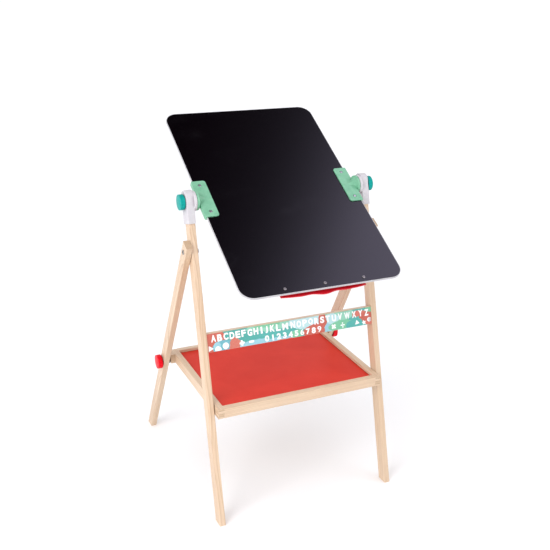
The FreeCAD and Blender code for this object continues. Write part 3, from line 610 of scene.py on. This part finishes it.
def soft_poly(points, r, n=5):
    """A polygon with rounded corners."""
    out = []
    k = len(points)
    for i in range(k):
        p = Vector(points[i])
        a = (Vector(points[i - 1]) - p).normalized()
        b = (Vector(points[(i + 1) % k]) - p).normalized()
        p0, p1 = p + a * r, p + b * r
        for j in range(n + 1):
            t = j / n
            q = p0 * (1 - t) ** 2 + p * 2 * t * (1 - t) + p1 * t * t
            out.append((q.x, q.y))
    return out


def as_piece(bm, name, material, body):
    bmesh.ops.remove_doubles(bm, verts=bm.verts, dist=1e-7)
    bmesh.ops.recalc_face_normals(bm, faces=bm.faces)
    me = bpy.data.meshes.new(name)
    bm.to_mesh(me)
    bm.free()
    ob = bpy.data.objects.new(name, me)
    bpy.context.scene.collection.objects.link(ob)
    me.materials.append(material)
    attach(ob, body)
    return ob


bm = bmesh.new()
LETTER_X = (-203.8, -188.4, -172.6, -157.4, -142.6, -128.0, -111.8, -96.2, -81.6, -68.6, -53.2, -37.8, -19.4,
            1.2, 17.4, 33.2, 49.4, 65.6, 81.2, 96.8, 114.0, 131.0, 151.2, 170.8, 189.2, 206.6)
for i, (ch, x) in enumerate(zip("ABCDEFGHIJKLMNOPQRSTUVWXYZ", LETTER_X)):
    glyph(bm, ch, x, 3.6 + 0.5 * math.sin(i * 2.3), 16.6, 15.6 if ch in "MW" else 12.2, 0.03 * math.sin(i * 1.7))
as_piece(bm, "strip_letters", INK, "front_frame")

bm = bmesh.new()
for i, ch in enumerate("0123456789"):
    glyph(bm, ch, -69.2 + 15.64 * i, 26.4 + 0.4 * math.sin(i * 1.9), 14.6, 11.2, 0.03 * math.sin(i * 2.1))
as_piece(bm, "strip_numbers", INK, "front_frame")

bm = bmesh.new()
b = 2.4
plus = [(-b, -6.6), (b, -6.6), (b, -b), (6.6, -b), (6.6, b), (b, b), (b, 6.6), (-b, 6.6), (-b, b), (-6.6, b), (-6.6, -b), (-b, -b)]
slab(bm, soft_poly(plus, 0.9, 3), -134.0, 34.0, 0.08)
slab(bm, soft_poly([(-6.4, -2.6), (6.4, -2.6), (6.4, 2.6), (-6.4, 2.6)], 1.8, 5), -109.4, 34.6, -0.04)
slab(bm, soft_poly(plus, 0.9, 3), 111.6, 33.6, math.radians(45))
slab(bm, soft_poly([(-6.0, -1.5), (6.0, -1.5), (6.0, 1.5), (-6.0, 1.5)], 1.3, 5), 136.8, 33.6)
slab(bm, circle(1.9, 16, 0.0, 5.0), 136.8, 33.6)
slab(bm, circle(1.9, 16, 0.0, -5.0), 136.8, 33.6)
as_piece(bm, "strip_signs", INK, "front_frame")

bm = bmesh.new()
slab(bm, soft_poly([(-6.5, -6.2), (6.9, -2.2), (-4.0, 7.0)], 1.4), -212.4, 34.4, 0.1)
slab(bm, soft_poly([(-8.0, -5.5), (8.0, -5.5), (8.3, -0.5), (4.2, 3.2), (-0.5, 6.0), (-5.4, 3.6), (-8.4, -1.0)], 2.6), -194.4, 37.0)
slab(bm, circle(7.7, 30), -175.2, 33.8)
slab(bm, soft_poly([(-6.0, -5.6), (6.4, -2.4), (-2.4, 6.6)], 1.3), 178.6, 33.4, -0.1)
star = []
for i in range(10):
    r = 6.6 if i % 2 == 0 else 3.3
    star.append((r * math.sin(i * math.pi / 5), r * math.cos(i * math.pi / 5)))
slab(bm, soft_poly(star, 0.9, 3), 197.4, 36.4, 0.2)
moon = circle(5.6, 20, 0.0, 0.0, math.radians(50), math.radians(310), False) + list(reversed(circle(4.7, 16, 2.6, 0.0, math.radians(64), math.radians(296), False)))
slab(bm, moon, 213.0, 31.0)
as_piece(bm, "strip_shapes", INK, "front_frame")


# ---------------------------------------------------------------------------
# Studio: pale floor, soft sky, one large key; the ceiling is flagged dark
# towards the left so that the board's sheen builds up to the right
# ---------------------------------------------------------------------------
def floor_piece():
    me = bpy.data.meshes.new("studio_floor")
    s = 60.0
    me.from_pydata([(-s, -s, 0), (s, -s, 0), (s, s, 0), (-s, s, 0)], [], [(0, 1, 2, 3)])
    ob = bpy.data.objects.new("studio_floor", me)
    bpy.context.scene.collection.objects.link(ob)
    g = Graph("floor_paper")
    n = g.noise(g.p, 3.0, 2.0, 0.5)
    g.set(Base_Color=g.mix(g.remap(n, 0.3, 0.7, 0.0, 1.0), (0.905, 0.905, 0.925), (0.920, 0.920, 0.940)), Roughness=0.85)
    g.bsdf.inputs["Specular IOR Level"].default_value = 0.0
    # painted light: the floor glows, weakly near the easel and more strongly further out
    g.bsdf.inputs["Emission Color"].default_value = (1.0, 1.0, 1.0, 1.0)
    g.set(Emission_Strength=g.remap(g.vec("LENGTH", g.p), 1.0, 4.5, 0.06, 0.16, True))
    me.materials.append(g.m)
    return ob


floor_piece()

world = bpy.data.worlds.new("studio")
bpy.context.scene.world = world
world.use_nodes = True
wt = world.node_tree
wt.nodes.clear()


def wn(kind):
    return wt.nodes.new(kind)


def wlink(a, b):
    wt.links.new(a, b)


def wmath(op, a, b):
    n = wn("ShaderNodeMath")
    n.operation = op
    for i, v in enumerate((a, b)):
        if isinstance(v, bpy.types.NodeSocket):
            wlink(v, n.inputs[i])
        else:
            n.inputs[i].default_value = v
    return n.outputs[0]


tc = wn("ShaderNodeTexCoord")
sp = wn("ShaderNodeSeparateXYZ")
wlink(tc.outputs["Generated"], sp.inputs[0])
s = wmath("SUBTRACT", sp.outputs[0], wmath("MULTIPLY", sp.outputs[1], 0.5))
ramp = wn("ShaderNodeValToRGB")
stops = [(0.0, 0.0), (0.18, 0.015), (0.25, 0.055), (0.295, 0.12), (0.335, 0.32), (0.37, 0.66), (0.42, 1.52), (0.50, 1.8)]
e = ramp.color_ramp.elements
while len(e) < len(stops):
    e.new(0.5)
for el, (pos, val) in zip(e, stops):
    el.position = pos
    el.color = (val, val * 0.93, val * 1.26, 1.0)
wlink(s, ramp.inputs[0])
flag = wn("ShaderNodeMapRange")
flag.interpolation_type = "SMOOTHSTEP"
wlink(sp.outputs[2], flag.inputs["Value"])
flag.inputs["From Min"].default_value = 0.66
flag.inputs["From Max"].default_value = 0.80
gl = wn("ShaderNodeMix")
gl.data_type = "RGBA"
wlink(flag.outputs[0], gl.inputs["Factor"])
gl.inputs[6].default_value = (1.0, 1.0, 1.0, 1.0)
wlink(ramp.outputs[0], gl.inputs[7])
lp = wn("ShaderNodeLightPath")
pick = wn("ShaderNodeMix")
pick.data_type = "RGBA"
wlink(lp.outputs["Is Glossy Ray"], pick.inputs["Factor"])
pick.inputs[6].default_value = (0.97, 0.97, 0.985, 1.0)
wlink(gl.outputs[2], pick.inputs[7])
bg = wn("ShaderNodeBackground")
wlink(pick.outputs[2], bg.inputs["Color"])
bg.inputs["Strength"].default_value = 1.0
wo = wn("ShaderNodeOutputWorld")
wlink(bg.outputs[0], wo.inputs[0])


def area(name, at, aim, size, power, colour=(1, 1, 1)):
    d = bpy.data.lights.new(name, "AREA")
    d.shape = "RECTANGLE"
    d.size, d.size_y = size
    d.energy = power
    d.color = colour
    o = bpy.data.objects.new(name, d)
    bpy.context.scene.collection.objects.link(o)
    o.location = at
    o.rotation_euler = (Vector(aim) - Vector(at)).to_track_quat("-Z", "Y").to_euler()
    return o


key = area("key", (-2.6, -1.5 + AHEAD, 2.3), (0.0, AHEAD, 0.45), (2.0, 2.0), 52.0, (1.0, 0.99, 0.98))
key.visible_glossy = False
fill = area("fill", (2.4, -2.0 + AHEAD, 1.8), (0.0, AHEAD, 0.5), (2.2, 2.2), 14.0)
low = area("low", (-1.9, -1.3 + AHEAD, 0.55), (0.2, AHEAD, 0.45), (1.2, 0.9), 7.0)
low.visible_glossy = False
fill.visible_glossy = False

# ---------------------------------------------------------------------------
# Camera at the viewing angle
# ---------------------------------------------------------------------------
yaw, pitch, roll = math.radians(25.029), math.radians(-20.819), math.radians(1.172)
F = Vector((math.sin(yaw) * math.cos(pitch), math.cos(yaw) * math.cos(pitch), math.sin(pitch)))
R0 = Vector((math.cos(yaw), -math.sin(yaw), 0.0))
U0 = R0.cross(F)
R = R0 * math.cos(roll) + U0 * math.sin(roll)
U = U0 * math.cos(roll) - R0 * math.sin(roll)
cam_data = bpy.data.cameras.new("camera")
cam_data.sensor_width = 36.0
cam_data.lens = 843.915 / 550.0 * 36.0
cam_data.clip_end = 200.0
cam = bpy.data.objects.new("camera", cam_data)
bpy.context.scene.collection.objects.link(cam)
at = Vector((-0.83006, -1.76669 + AHEAD, 1.27298))
cam.matrix_world = Matrix((
    (R.x, U.x, -F.x, at.x),
    (R.y, U.y, -F.y, at.y),
    (R.z, U.z, -F.z, at.z),
    (0.0, 0.0, 0.0, 1.0),
))
bpy.context.scene.camera = cam
bpy.context.scene.view_settings.view_transform = "Standard"
